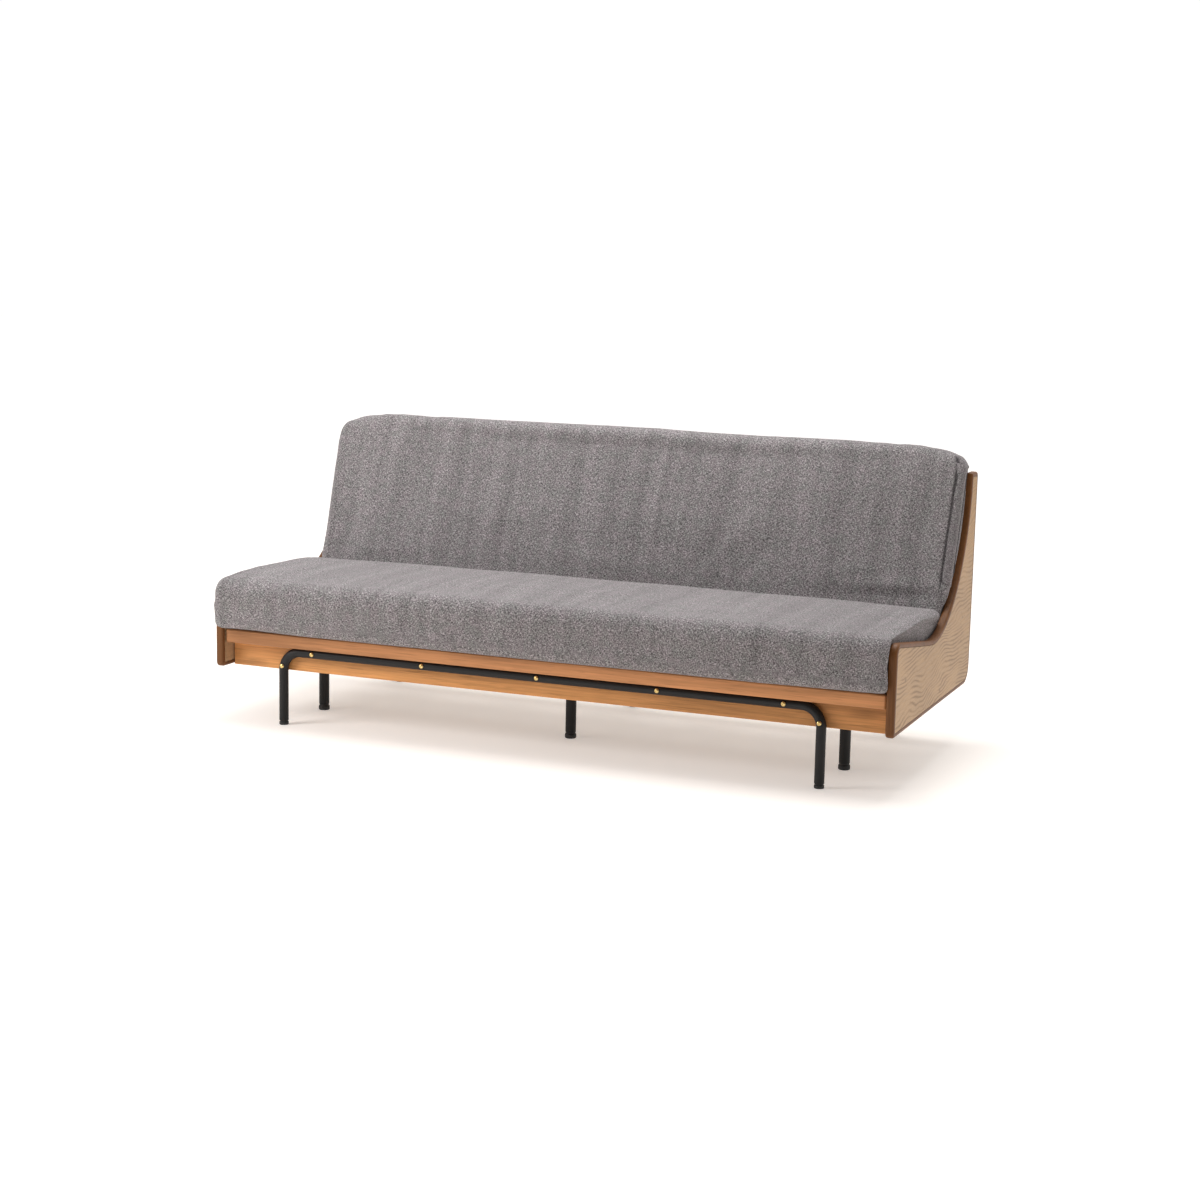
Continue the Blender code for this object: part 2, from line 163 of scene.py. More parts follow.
class Finish:
    """One material's nodes, or the world's."""

    def __init__(self, owner):
        owner.use_nodes = True
        self.material = owner
        self.tree = owner.node_tree
        self.tree.nodes.clear()

    def add(self, kind, settings=None, sockets=None, output=0):
        """A node of that kind with its settings and sockets set, as a Signal of one output."""
        made = self.tree.nodes.new(kind)
        for name, value in (settings or {}).items():
            if name == "stops":
                self.set_stops(made.color_ramp, value)
            else:
                setattr(made, name, value)
        for name, value in (sockets or {}).items():
            if isinstance(value, Signal):
                self.tree.links.new(value.socket, made.inputs[name])
            else:
                made.inputs[name].default_value = value
        return Signal(self, made.outputs[output])

    @staticmethod
    def set_stops(ramp, stops):
        for _ in range(len(stops) - 2):
            ramp.elements.new(0.5)
        for element, (position, colour) in zip(ramp.elements, stops):
            element.position = position
            element.color = (*colour, 1.0)

    def place(self):
        return self.add("ShaderNodeTexCoord", output="Object")

    def attribute(self, name):
        return self.add("ShaderNodeAttribute", {"attribute_name": name}, output="Vector")

    def stretch(self, vector, factors):
        settings = {"operation": "MULTIPLY"}
        return self.add("ShaderNodeVectorMath", settings, {0: vector, 1: factors})

    def split(self, vector):
        parts = self.add("ShaderNodeSeparateXYZ", sockets={0: vector}).socket.node.outputs
        return [Signal(self, part) for part in parts]

    def cloud(self, vector, scale, detail=2.0, roughness=0.5, distortion=0.0):
        sockets = {
            "Vector": vector,
            "Scale": scale,
            "Detail": detail,
            "Roughness": roughness,
            "Distortion": distortion,
        }
        return self.add("ShaderNodeTexNoise", sockets=sockets, output="Fac")

    def grain(self, vector, factors, detail=2.0, roughness=0.5, distortion=0.0):
        """Noise stretched by a factor along each axis."""
        return self.cloud(self.stretch(vector, factors), 1.0, detail, roughness, distortion)

    def spots(self, vector, factors):
        """Distance to the nearest of many scattered spots, stretched the same way."""
        sockets = {"Vector": self.stretch(vector, factors), "Scale": 1.0, "Randomness": 1.0}
        settings = {"feature": "F1"}
        return self.add("ShaderNodeTexVoronoi", settings, sockets, output="Distance")

    def ramp(self, value, stops):
        return self.add("ShaderNodeValToRGB", {"stops": stops}, {0: value})

    def mix(self, factor, first, second, blend="MIX"):
        first = first if isinstance(first, Signal) else (*first, 1.0)
        second = second if isinstance(second, Signal) else (*second, 1.0)
        settings = {"data_type": "RGBA", "blend_type": blend}
        sockets = {0: factor, 6: first, 7: second}
        return self.add("ShaderNodeMix", settings, sockets, output=2)

    def bump(self, height, strength, distance):
        sockets = {"Height": height, "Strength": strength, "Distance": distance}
        return self.add("ShaderNodeBump", sockets=sockets)

    def done(self, **sockets):
        """Closes the material with a Principled shader. Socket names use _ for a space."""
        named = {name.replace("_", " "): value for name, value in sockets.items()}
        shader = self.add("ShaderNodeBsdfPrincipled", sockets=named)
        self.add_output(shader)
        return self.material

    def add_output(self, shader, kind="ShaderNodeOutputMaterial"):
        out = self.tree.nodes.new(kind)
        self.tree.links.new(shader.socket, out.inputs[0])


def sofa_colour(name):
    return tuple(getattr(bpy.context.scene.sofa_colours, name))


def shade(colour, factor):
    return tuple(channel * factor for channel in colour)


THREAD_PITCH = 0.0021


def tweed():
    """Wool-like tweed of pale, middle and dark yarns, with short flecks along both threads."""
    finish = Finish(bpy.data.materials.new("tweed"))
    place = finish.place()
    weave = finish.attribute("weave")
    along = finish.grain(weave, (165.0, 540.0, 1.0), 2.0, 0.6)
    across = finish.grain(weave, (540.0, 165.0, 1.0), 2.0, 0.6)
    grains = finish.cloud(place, 340.0, 2.0, 0.7)
    specks = along * 0.33 + across * 0.33 + grains * 0.34
    dark = sofa_colour("yarn_dark")
    middle = sofa_colour("yarn_middle")
    light = sofa_colour("yarn_light")
    yarns = finish.ramp(specks, [(0.415, dark), (0.50, middle), (0.595, light)])
    tint = finish.cloud(place, 38.0, 4.0, 0.65)
    warm = finish.ramp(tint, [(0.36, (0.91, 0.955, 0.93)), (0.64, (1.09, 1.05, 1.075))])
    coloured = finish.mix(1.0, yarns, warm, "MULTIPLY")
    streaks = finish.grain(weave, (26.0, 1.6, 1.0), 2.0, 0.55)
    worn = finish.ramp(streaks, [(0.30, (0.86, 0.86, 0.86)), (0.70, (1.13, 1.13, 1.13))])
    coloured = finish.mix(1.0, coloured, worn, "MULTIPLY")
    # Painted shade: where the crease attribute is set, the cloth is darkened like a seam's groove in shade.
    crease = finish.add("ShaderNodeAttribute", {"attribute_name": "crease"}, output="Fac")
    coloured = finish.mix(crease.step(0.15, 0.9) * 0.8, coloured, shade(dark, 0.35))
    turns = 2 * math.pi / THREAD_PITCH
    u, v, _ = finish.split(finish.stretch(weave, (turns, turns, 1.0)))
    threads = u.sine() * v.sine()
    fuzz = finish.cloud(place, 900.0, 2.0, 0.7)
    height = threads * 0.35 + fuzz * 0.5 + specks * 1.3
    return finish.done(
        Base_Color=coloured,
        Roughness=0.93,
        Specular_IOR_Level=0.18,
        Sheen_Weight=0.22,
        Sheen_Roughness=0.45,
        Sheen_Tint=(0.85, 0.80, 0.82, 1.0),
        Normal=finish.bump(height, 0.55, 0.0009),
    )


def straight_wood(name, colour, run, lightest, darkest, knots=0.0, roughness=0.46):
    """Straight-grained wood. run is the axis of the grain: 0 for X, 1 for Y, 2 for Z."""
    finish = Finish(bpy.data.materials.new(name))
    place = finish.place()
    bands = finish.grain(place, axis_factors(run, 0.9, 26.0), 3.0, 0.55, 0.6)
    fibres = finish.grain(place, axis_factors(run, 5.0, 210.0), 4.0, 0.65)
    pores = finish.grain(place, axis_factors(run, 12.0, 420.0), 2.0, 0.5)
    blotches = finish.grain(place, axis_factors(run, 2.4, 7.0), 2.0, 0.5)
    tone = bands * 0.45 + fibres * 0.35 + blotches * 0.20
    dark = shade(colour, darkest)
    light = shade(colour, lightest)
    wood = finish.ramp(tone, [(0.38, dark), (0.50, tuple(colour)), (0.62, light)])
    pore_mask = pores.step(0.56, 0.70)
    wood = finish.mix(pore_mask * 0.45, wood, shade(colour, 0.42))
    if knots:
        near = 1.0 - finish.spots(place, axis_factors(run, 3.1, 9.0)).step(0.03, 0.20)
        wood = finish.mix(near * knots, wood, shade(colour, 0.30))
    height = fibres * 0.6 - pore_mask * 0.9
    return finish.done(
        Base_Color=wood,
        Roughness=roughness + (fibres - 0.5) * 0.25,
        Specular_IOR_Level=0.22,
        Normal=finish.bump(height, 0.35, 0.0005),
    )


def axis_factors(run, along, across):
    """Stretch factors for a grain that runs along one axis."""
    factors = [across] * 3
    factors[run] = along
    return tuple(factors)


def panel_wood():
    """Rustic veneer: the rings show as arches and islands, with a few small knots."""
    colour = sofa_colour("panel")
    finish = Finish(bpy.data.materials.new("panel_wood"))
    place = finish.place()
    warp = finish.grain(place, (1.0, 2.6, 5.5), 2.0, 0.5, 0.25)
    wobble = finish.grain(place, (1.0, 10.0, 34.0), 3.0, 0.6, 0.5)
    _, y, z = finish.split(place)
    rings = (warp * 12.0 + wobble * 0.9 + z * 88.0 - y * 6.0) * (2 * math.pi)
    lines = (rings.sine() * 0.5 + 0.5) ** 2.6
    fade = finish.grain(place, (1.0, 7.0, 16.0), 2.0, 0.5).step(0.35, 0.62)
    fibres = finish.grain(place, (90.0, 12.0, 260.0), 4.0, 0.65)
    blotches = finish.grain(place, (2.0, 2.6, 4.0), 2.0, 0.5)
    pores = finish.grain(place, (300.0, 50.0, 900.0), 2.0, 0.5).step(0.58, 0.72)
    base = finish.ramp(
        blotches * 0.45 + fibres * 0.55,
        [(0.36, shade(colour, 0.84)), (0.50, colour), (0.64, shade(colour, 1.14))],
    )
    lower = 1.0 - z.step(0.20, 0.62)
    greyed = finish.mix(lower, base, (1.0, 1.02, 1.03), "MULTIPLY")
    greyed = finish.mix(z.step(0.40, 0.68), greyed, (0.97, 0.91, 0.76), "MULTIPLY")
    calm = 1.0 - z.step(0.34, 0.56) * 0.6
    grained = finish.mix(lines * fade * calm * 0.58, greyed, shade(colour, 0.36))
    grained = finish.mix(pores * 0.40, grained, shade(colour, 0.42))
    knots = (1.0 - finish.spots(place, (1.0, 8.0, 15.0)).step(0.015, 0.11)) * calm
    grained = finish.mix(knots * 0.7, grained, shade(colour, 0.27))
    return finish.done(
        Base_Color=grained,
        Roughness=0.48 + lines * 0.08 + (fibres - 0.5) * 0.2,
        Specular_IOR_Level=0.22,
        Normal=finish.bump(fibres * 0.5 - lines * 0.30 - pores * 0.8, 0.35, 0.0005),
    )


def plain_finish(name, colour, worn, wear, roughness, grain, metallic=0.0, specular=0.5):
    """A plain coat with worn patches and a fine grain.

    wear is the patches' scale, where they start and end, and their weight. roughness is its
    least and its rise in the patches. grain is its scale, strength and depth.
    """
    finish = Finish(bpy.data.materials.new(name))
    place = finish.place()
    fine = finish.cloud(place, grain[0], 2.0, 0.5)
    patches = finish.cloud(place, wear[0], 3.0, 0.6)
    return finish.done(
        Base_Color=finish.mix(patches.step(wear[1], wear[2]) * wear[3], colour, worn),
        Metallic=metallic,
        Roughness=roughness[0] + patches * roughness[1],
        Specular_IOR_Level=specular,
        Normal=finish.bump(fine, grain[1], grain[2]),
    )


def black_steel():
    """Satin powder coat with its fine orange-peel texture."""
    colour = sofa_colour("steel")
    return plain_finish(
        "black_steel", colour, shade(colour, 2.4), (22.0, 0.5, 0.8, 0.35), (0.40, 0.14),
        (700.0, 0.12, 0.0004), specular=0.30)


def brass():
    colour = sofa_colour("brass")
    return plain_finish(
        "brass", colour, shade(colour, 0.72), (160.0, 0.45, 0.75, 0.4), (0.24, 0.16),
        (1400.0, 0.06, 0.0002), metallic=1.0)


def dark_plastic():
    return plain_finish(
        "foot_plastic", (0.016, 0.016, 0.017), (0.035, 0.033, 0.031), (90.0, 0.5, 0.75, 0.5),
        (0.50, 0.15), (1100.0, 0.2, 0.0003))


def zip_nylon():
    finish = Finish(bpy.data.materials.new("zip"))
    place = finish.place()
    ribs = finish.grain(place, (200.0, 200.0, 1500.0), 2.0, 0.5)
    tone = finish.mix(ribs.step(0.4, 0.7), (0.018, 0.016, 0.018), (0.050, 0.045, 0.048))
    return finish.done(Base_Color=tone, Roughness=0.6, Normal=finish.bump(ribs, 0.4, 0.0004))


# ---------------------------------------------------------------- mesh helpers


def add_object(name, content):
    item = bpy.data.objects.new(name, content)
    bpy.context.scene.collection.objects.link(item)
    return item


def mesh_object(name, points, faces, material, smooth=True):
    mesh = bpy.data.meshes.new(name)
    mesh.from_pydata([tuple(point) for point in points], [], faces)
    mesh.update()
    if smooth:
        mesh.shade_smooth()
    mesh.materials.append(material)
    return add_object(name, mesh)


@contextlib.contextmanager
def editing(item):
    """The item's mesh as a bmesh, which is written back at the end."""
    shape = bmesh.new()
    shape.from_mesh(item.data)
    shape.verts.ensure_lookup_table()
    yield shape
    shape.to_mesh(item.data)
    shape.free()


def strip_faces(rows, around, closed=False):
    """Faces between each row of points and the next, and from the last to the first if closed."""
    faces = []
    for row in range(rows if closed else rows - 1):
        low = row * around
        high = (row + 1) % rows * around
        for i in range(around):
            j = (i + 1) % around
            faces.append((low + i, low + j, high + j, high + i))
    return faces


def settle(item, node, angle=35.0):
    """Puts a finished piece in place of its CAD node, on the same body."""
    item.data.set_sharp_from_angle(angle=math.radians(angle))
    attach(item, BODY_OF[node])
    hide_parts(node)


def turned(name, profile, centre, material, axis, steps):
    """A solid of revolution from (radius, height) points that start and end on the axis."""
    rings = [(radius, height) for radius, height in profile if radius > 0]
    points = []
    for radius, height in rings:
        for i in range(steps):
            turn = 2 * math.pi * i / steps
            points.append(Vector((radius * math.cos(turn), radius * math.sin(turn), height)))
    faces = [(b, a, d, c) for a, b, c, d in strip_faces(len(rings), steps)]
    top = len(points)
    points.append(Vector((0.0, 0.0, profile[0][1])))
    points.append(Vector((0.0, 0.0, profile[-1][1])))
    last = (len(rings) - 1) * steps
    for i in range(steps):
        j = (i + 1) % steps
        faces.append((top, i, j))
        faces.append((top + 1, last + j, last + i))
    if axis == "Y":
        points = [Vector((p.x, -p.z, p.y)) for p in points]
    points = [p + Vector(centre) for p in points]
    return mesh_object(name, points, faces, material)


def swept_tube(name, path, radius, material, sides=32):
    """A round tube along a path in the X-Z plane, with flat ends."""
    points = []
    for i, spot in enumerate(path):
        ahead = path[min(i + 1, len(path) - 1)]
        behind = path[max(i - 1, 0)]
        along = (ahead - behind).normalized()
        side = along.cross(Vector((0.0, 1.0, 0.0))).normalized()
        for k in range(sides):
            turn = 2 * math.pi * k / sides
            out = math.cos(turn) * side + math.sin(turn) * Vector((0, 1, 0))
            points.append(spot + radius * out)
    faces = strip_faces(len(path), sides)
    faces.append(tuple(range(sides))[::-1])
    faces.append(tuple(range(len(points) - sides, len(points))))
    item = mesh_object(name, points, faces, material)
    clean_up(item)
    return item


def clean_up(item):
    """Merges points that meet, and turns every face outwards."""
    with editing(item) as shape:
        bmesh.ops.remove_doubles(shape, verts=shape.verts, dist=1e-6)
        bmesh.ops.recalc_face_normals(shape, faces=shape.faces)


def outline_of(node):
    """A side panel's outline as (y, z) points in order, read from its CAD solid."""
    shape = bmesh.new()
    shape.from_mesh(frame["nodes"][node].data)
    bmesh.ops.remove_doubles(shape, verts=shape.verts, dist=1e-5)
    offsets = sorted({round(v.co.x, 5) for v in shape.verts})
    level = offsets[len(offsets) // 2]
    ring = {v for v in shape.verts if abs(v.co.x - level) < 2e-5}
    start = min(ring, key=lambda v: (v.co.y + v.co.z))
    order = [start]
    seen = {start}
    while True:
        onward = [
            e.other_vert(order[-1]) for e in order[-1].link_edges
            if e.other_vert(order[-1]) in ring and e.other_vert(order[-1]) not in seen
        ]
        if not onward:
            break
        nearest = min(onward, key=lambda v: (v.co - order[-1].co).length)
        order.append(nearest)
        seen.add(nearest)
    points = [Vector((v.co.y, v.co.z)) for v in order]
    shape.free()
    if len(points) < 20:
        raise RuntimeError(f"the outline of {node} has only {len(points)} points")
    area = sum(a.x * b.y - b.x * a.y for a, b in zip(points, points[1:] + points[:1]))
    return points if area > 0 else points[::-1]


def inward(points):
    """Unit normals that point into a closed outline given anticlockwise, mitred at corners."""
    normals = []
    for i, point in enumerate(points):
        back = (point - points[i - 1]).normalized()
        onward = (points[(i + 1) % len(points)] - point).normalized()
        left_back = Vector((-back.y, back.x))
        left_onward = Vector((-onward.y, onward.x))
        middle = (left_back + left_onward).normalized()
        normals.append(middle / max(0.5, middle.dot(left_back)))
    return normals


def refine(points, margin=0.016, pitch=0.05):
    """Adds points to an outline's long sides, the first of them a margin from each corner."""
    fine = []
    for a, b in zip(points, points[1:] + points[:1]):
        fine.append(a)
        length = (b - a).length
        if length > 3 * margin:
            count = int((length - 2 * margin) / pitch) + 1
            start = margin / length
            for i in range(count + 1):
                fine.append(a + (b - a) * (start + (1 - 2 * margin / length) * i / count))
    return fine


def distance_to(outline, spots):
    """Each spot's distance to a closed outline, and whether it lies inside."""
    nearest = np.full(len(spots), 1e9)
    inside = np.zeros(len(spots), bool)
    for a, b in zip(outline, np.roll(outline, -1, axis=0)):
        span = b - a
        share = np.clip(((spots - a) @ span) / (span @ span), 0.0, 1.0)[:, None]
        nearest = np.minimum(nearest, np.linalg.norm(spots - a - share * span, axis=1))
        crosses = (a[1] > spots[:, 1]) != (b[1] > spots[:, 1])
        rise = span[1] if abs(span[1]) > 1e-9 else 1e-9
        inside ^= crosses & (spots[:, 0] < a[0] + (spots[:, 1] - a[1]) * span[0] / rise)
    return nearest, inside


def inset_ring(points, normals, depth):
    """The outline moved inwards, with the points that would cross at a tight corner brought to it."""
    moved = [point + normal * depth for point, normal in zip(points, normals)]
    if depth < 1e-6:
        return moved
    outline = np.array([tuple(p) for p in points])
    nearest, inside = distance_to(outline, np.array([tuple(p) for p in moved]))
    sound = (nearest > depth * 0.98) & inside
    count = len(points)
    if all(sound):
        return moved
    first = next(i for i in range(count) if sound[i] and not sound[(i + 1) % count])
    i = first
    while i < first + count:
        j = i + 1
        while not sound[j % count]:
            j += 1
        if j > i + 1:
            a, b = moved[i % count], moved[j % count]
            n, m = normals[i % count], normals[j % count]
            along = Vector((n.y, -n.x))
            across = Vector((m.y, -m.x))
            turn = along.cross(across)
            corner = a + along * ((b - a).cross(across) / turn) if abs(turn) > 1e-6 else (a + b) / 2
            for k in range(i + 1, j):
                moved[k % count] = corner
        i = j
    return moved


# ---------------------------------------------------------------- wood and metal pieces


BOARD_DROP = 0.0002  # how far the veneered faces lie below the lipping's


def build_side_panel(side, material, edge_material):
    """Veneered board with a rounded solid lipping all round, and the fine line between them."""
    sizes = bpy.context.scene.sofa_sizes
    node = f"side_panel_{side}"
    low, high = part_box(node)
    outline = refine(outline_of(node))
    normals = inward(outline)
    radius = sizes.lipping_radius
    width = sizes.lipping_width

    section = [(width, low.x)]
    quarter = [math.pi / 2 * i / 6 for i in range(7)]
    for face_x, out, turns in ((low.x, 1, quarter), (high.x, -1, quarter[::-1])):
        for turn in turns:
            x = face_x + out * radius * (1 - math.cos(turn))
            section.append((radius * (1 - math.sin(turn)), x))
    section.append((width, high.x))
    points = []
    for depth, x in section:
        points += [(x, spot.x, spot.y) for spot in inset_ring(outline, normals, depth)]
    faces = strip_faces(len(section), len(outline), closed=True)
    lipping = mesh_object(f"{node}_lipping", points, faces, edge_material)
    clean_up(lipping)
    lipping.data.set_sharp_from_angle(angle=math.radians(40.0))
    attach(lipping, BODY_OF[node])

    inset = width + sizes.joint_line
    spots = inset_ring(outline, normals, inset)
    edge = [spot for i, spot in enumerate(spots) if (spot - spots[i - 1]).length > 2e-4]
    shape = bmesh.new()
    x = low.x + BOARD_DROP
    face = shape.faces.new([shape.verts.new((x, spot.x, spot.y)) for spot in edge])
    grown = bmesh.ops.extrude_face_region(shape, geom=[face])
    thick = Vector((high.x - BOARD_DROP - x, 0.0, 0.0))
    moved = [part for part in grown["geom"] if isinstance(part, bmesh.types.BMVert)]
    bmesh.ops.translate(shape, vec=thick, verts=moved)
    bmesh.ops.recalc_face_normals(shape, faces=shape.faces)
    caps = [f for f in shape.faces if len(f.verts) > 4]
    bmesh.ops.triangulate(shape, faces=caps, ngon_method="EAR_CLIP")
    mesh = bpy.data.meshes.new(node + "_board")
    shape.to_mesh(mesh)
    shape.free()
    mesh.materials.append(material)
    settle(add_object(node + "_board", mesh), node, angle=30.0)


def arc_points(centre, radius, start, end, steps):
    spots = []
    for i in range(steps + 1):
        turn = math.radians(start + (end - start) * i / steps)
        spots.append(centre + radius * Vector((math.cos(turn), 0.0, math.sin(turn))))
    return spots


TUBE_RADIUS = 0.0127
TUBE_FIT = 1.0155  # a many-sided CAD tube measures this much narrower than a round one
TUBE_BEND = 0.052
LEG_RADIUS = 0.0143
FOOT_NECK = 0.0131


def build_tube_leg(material):
    """The bent front tube, from foot to foot."""
    low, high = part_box("tube_leg")
    radius = min((high.y - low.y) / 2 * TUBE_FIT, TUBE_RADIUS)
    leg_x = high.x - TUBE_RADIUS
    axis_y = (low.y + high.y) / 2
    top = high.z - TUBE_RADIUS
    bend = TUBE_BEND
    path = [Vector((-leg_x, axis_y, low.z)), Vector((-leg_x, axis_y, (low.z + top) / 2))]
    path += arc_points(Vector((-leg_x + bend, axis_y, top - bend)), bend, 180.0, 90.0, 16)
    path += [Vector((leg_x * i / 4, axis_y, top)) for i in range(-3, 4)]
    path += arc_points(Vector((leg_x - bend, axis_y, top - bend)), bend, 90.0, 0.0, 16)
    path += [Vector((leg_x, axis_y, (low.z + top) / 2)), Vector((leg_x, axis_y, low.z))]
    settle(swept_tube("tube_leg_finish", path, radius, material), "tube_leg")


def build_turned_nodes(steel, plastic, brass_finish):
    """Round legs, feet and bolts, turned finer than their CAD solids."""
    for node in frame["nodes"]:
        low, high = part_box(node)
        centre = ((low.x + high.x) / 2, (low.y + high.y) / 2, 0.0)
        wide = (high.x - low.x) / 2
        axis, steps = "Z", 48
        if node.startswith(("front_leg", "rear_leg")):
            material, tube = steel, LEG_RADIUS
            profile = [
                (0.0, high.z), (wide - 0.0006, high.z), (wide, high.z - 0.0006),
                (wide, high.z - 0.0026), (wide - 0.0006, high.z - 0.0030),
                (tube + 0.0012, high.z - 0.0030), (tube, high.z - 0.0042),
                (tube, low.z + 0.0006), (tube - 0.0006, low.z), (0.0, low.z),
            ]
        elif node.startswith(("front_foot", "rear_foot")):
            material, neck = plastic, FOOT_NECK
            profile = [
                (0.0, high.z), (neck, high.z), (neck, 0.0135), (neck + 0.0006, 0.0126),
                (wide - 0.0012, 0.0122), (wide - 0.0004, 0.0112), (wide, 0.0095), (wide, 0.0030),
                (wide - 0.0005, 0.0012), (wide - 0.0018, 0.0), (0.0, 0.0),
            ]
        elif node.startswith("tube_foot"):
            material, neck = plastic, wide - 0.0022
            profile = [
                (0.0, high.z), (neck, high.z), (neck, 0.0090), (wide - 0.0010, 0.0086),
                (wide, 0.0076), (wide, 0.0016), (wide - 0.0006, 0.0004), (wide - 0.0016, 0.0),
                (0.0, 0.0),
            ]
        elif node.startswith("bolt"):
            material, axis, steps = brass_finish, "Y", 36
            centre = ((low.x + high.x) / 2, high.y, (low.z + high.z) / 2)
            proud = high.y - low.y
            profile = [
                (0.0, proud - 0.0016), (0.0020, proud - 0.0016), (0.0022, proud - 0.0004),
                (0.0026, proud), (wide * 0.62, proud - 0.0003), (wide * 0.86, proud - 0.0011),
                (wide * 0.97, proud - 0.0021), (wide, proud - 0.0030), (wide, 0.0), (0.0, 0.0),
            ]
        else:
            continue
        settle(turned(node + "_finish", profile, centre, material, axis, steps), node)


# ---------------------------------------------------------------- cushions


def fillet_corner(before, corner, after, radius, steps=8):
    towards = (before - corner).normalized()
    away = (after - corner).normalized()
    half = towards.angle(away) / 2
    centre = corner + (towards + away).normalized() * radius / math.sin(half)
    start = corner + towards * radius / math.tan(half) - centre
    sense = 1.0 if towards.cross(away) < 0 else -1.0
    turn = sense * (math.pi - 2 * half)
    return [centre + Matrix.Rotation(turn * i / steps, 2) @ start for i in range(steps + 1)]


def even_outline(corners, spacing):
    """Evenly spaced (y, z) points round an outline of ((y, z), radius) corners, and their places."""
    rough = []
    for i, (corner, radius) in enumerate(corners):
        before = Vector(corners[i - 1][0])
        after = Vector(corners[(i + 1) % len(corners)][0])
        rough += fillet_corner(before, Vector(corner), after, radius)
    rough = np.array([tuple(p) for p in rough])
    closed = np.vstack([rough, rough[:1]])
    lengths = np.linalg.norm(np.diff(closed, axis=0), axis=1)
    travelled = np.concatenate([[0.0], np.cumsum(lengths)])
    count = int(round(travelled[-1] / spacing))
    stations = np.arange(count) * travelled[-1] / count
    y = np.interp(stations, travelled, closed[:, 0])
    z = np.interp(stations, travelled, closed[:, 1])
    return np.stack([y, z], 1), stations


def end_rings(half, radius, spacing, fine):
    """Rings from the middle to one end as (x, inset from the outline, shrink towards the core)."""
    straight = list(np.arange(0.0, half - radius - 0.05, spacing))
    straight += list(np.arange(straight[-1] + spacing, half - radius - fine / 2, fine))
    rings = [(x, 0.0, 1.0) for x in straight]
    for i in range(6):
        turn = math.pi / 2 * i / 5
        rings.append((half - radius + radius * math.sin(turn), radius * (1 - math.cos(turn)), 1.0))
    for shrink in (0.93, 0.86, 0.76, 0.64, 0.50, 0.35, 0.20, 0.08):
        rings.append((half, radius, shrink))
    return rings


def cushion_mesh(name, corners, half, radius, spacing, core, material):
    """A closed pad: an outline in Y-Z drawn out along X with rounded, boxed ends.

    core is a segment ((y, z), (y, z)) inside the outline, on which the ends close. The rings run
    from the left end to the right, and the weave attribute holds each point's place on the cloth.
    """
    outline, stations = even_outline(corners, spacing)
    points_2d = [Vector(p) for p in outline]
    area = sum(a.cross(b) for a, b in zip(points_2d, points_2d[1:] + points_2d[:1]))
    if area < 0:
        outline = outline[::-1].copy()
        points_2d = points_2d[::-1]
    normals = np.array([tuple(n.normalized()) for n in inward(points_2d)])
    half_rings = end_rings(half, radius, spacing, 0.005)
    rings = [(-x, inset, shrink) for x, inset, shrink in reversed(half_rings[1:])] + half_rings
    a, b = np.array(core[0]), np.array(core[1])
    along = (b - a) / ((b - a) @ (b - a))
    count = len(outline)
    flat = np.zeros(count)
    points, weave = [], []
    for x, inset, shrink in rings:
        ring = outline + normals * inset
        reach = np.full(count, x + math.copysign(inset, x))
        on_cloth = np.column_stack([reach, stations, flat])
        if shrink < 1.0:
            share = np.clip((ring - a) @ along, 0.0, 1.0)[:, None]
            middle = a + share * (b - a)
            ring = middle + shrink * (ring - middle)
            on_cloth = np.column_stack([ring, flat])
        points.append(np.column_stack([np.full(count, x), ring]))
        weave.append(on_cloth)
    faces = [(a, d, c, b) for a, b, c, d in strip_faces(len(rings), count)]
    item = mesh_object(name, np.vstack(points), faces, material)
    attribute = item.data.attributes.new("weave", "FLOAT_VECTOR", "POINT")
    attribute.data.foreach_set("vector", np.vstack(weave).astype(np.float32).ravel())
    with editing(item) as shape:
        last = (len(rings) - 1) * count
        shape.faces.new([shape.verts[i] for i in reversed(range(count))])
        shape.faces.new([shape.verts[last + i] for i in range(count)])
        bmesh.ops.recalc_face_normals(shape, faces=shape.faces)
    item.data.shade_smooth()
    return item, rings, count


def read_points(item):
    flat = np.empty(len(item.data.vertices) * 3, np.float32)
    item.data.vertices.foreach_get("co", flat)
    return flat.reshape(-1, 3).astype(float)


def write_points(item, points):
    item.data.vertices.foreach_set("co", points.astype(np.float32).ravel())
    item.data.update()


def read_normals(item):
    flat = np.empty(len(item.data.vertices) * 3, np.float32)
    item.data.vertex_normals.foreach_get("vector", flat)
    return flat.reshape(-1, 3).astype(float)


FIRM_FOAM = 0.75  # share of any sinking that the foam resists


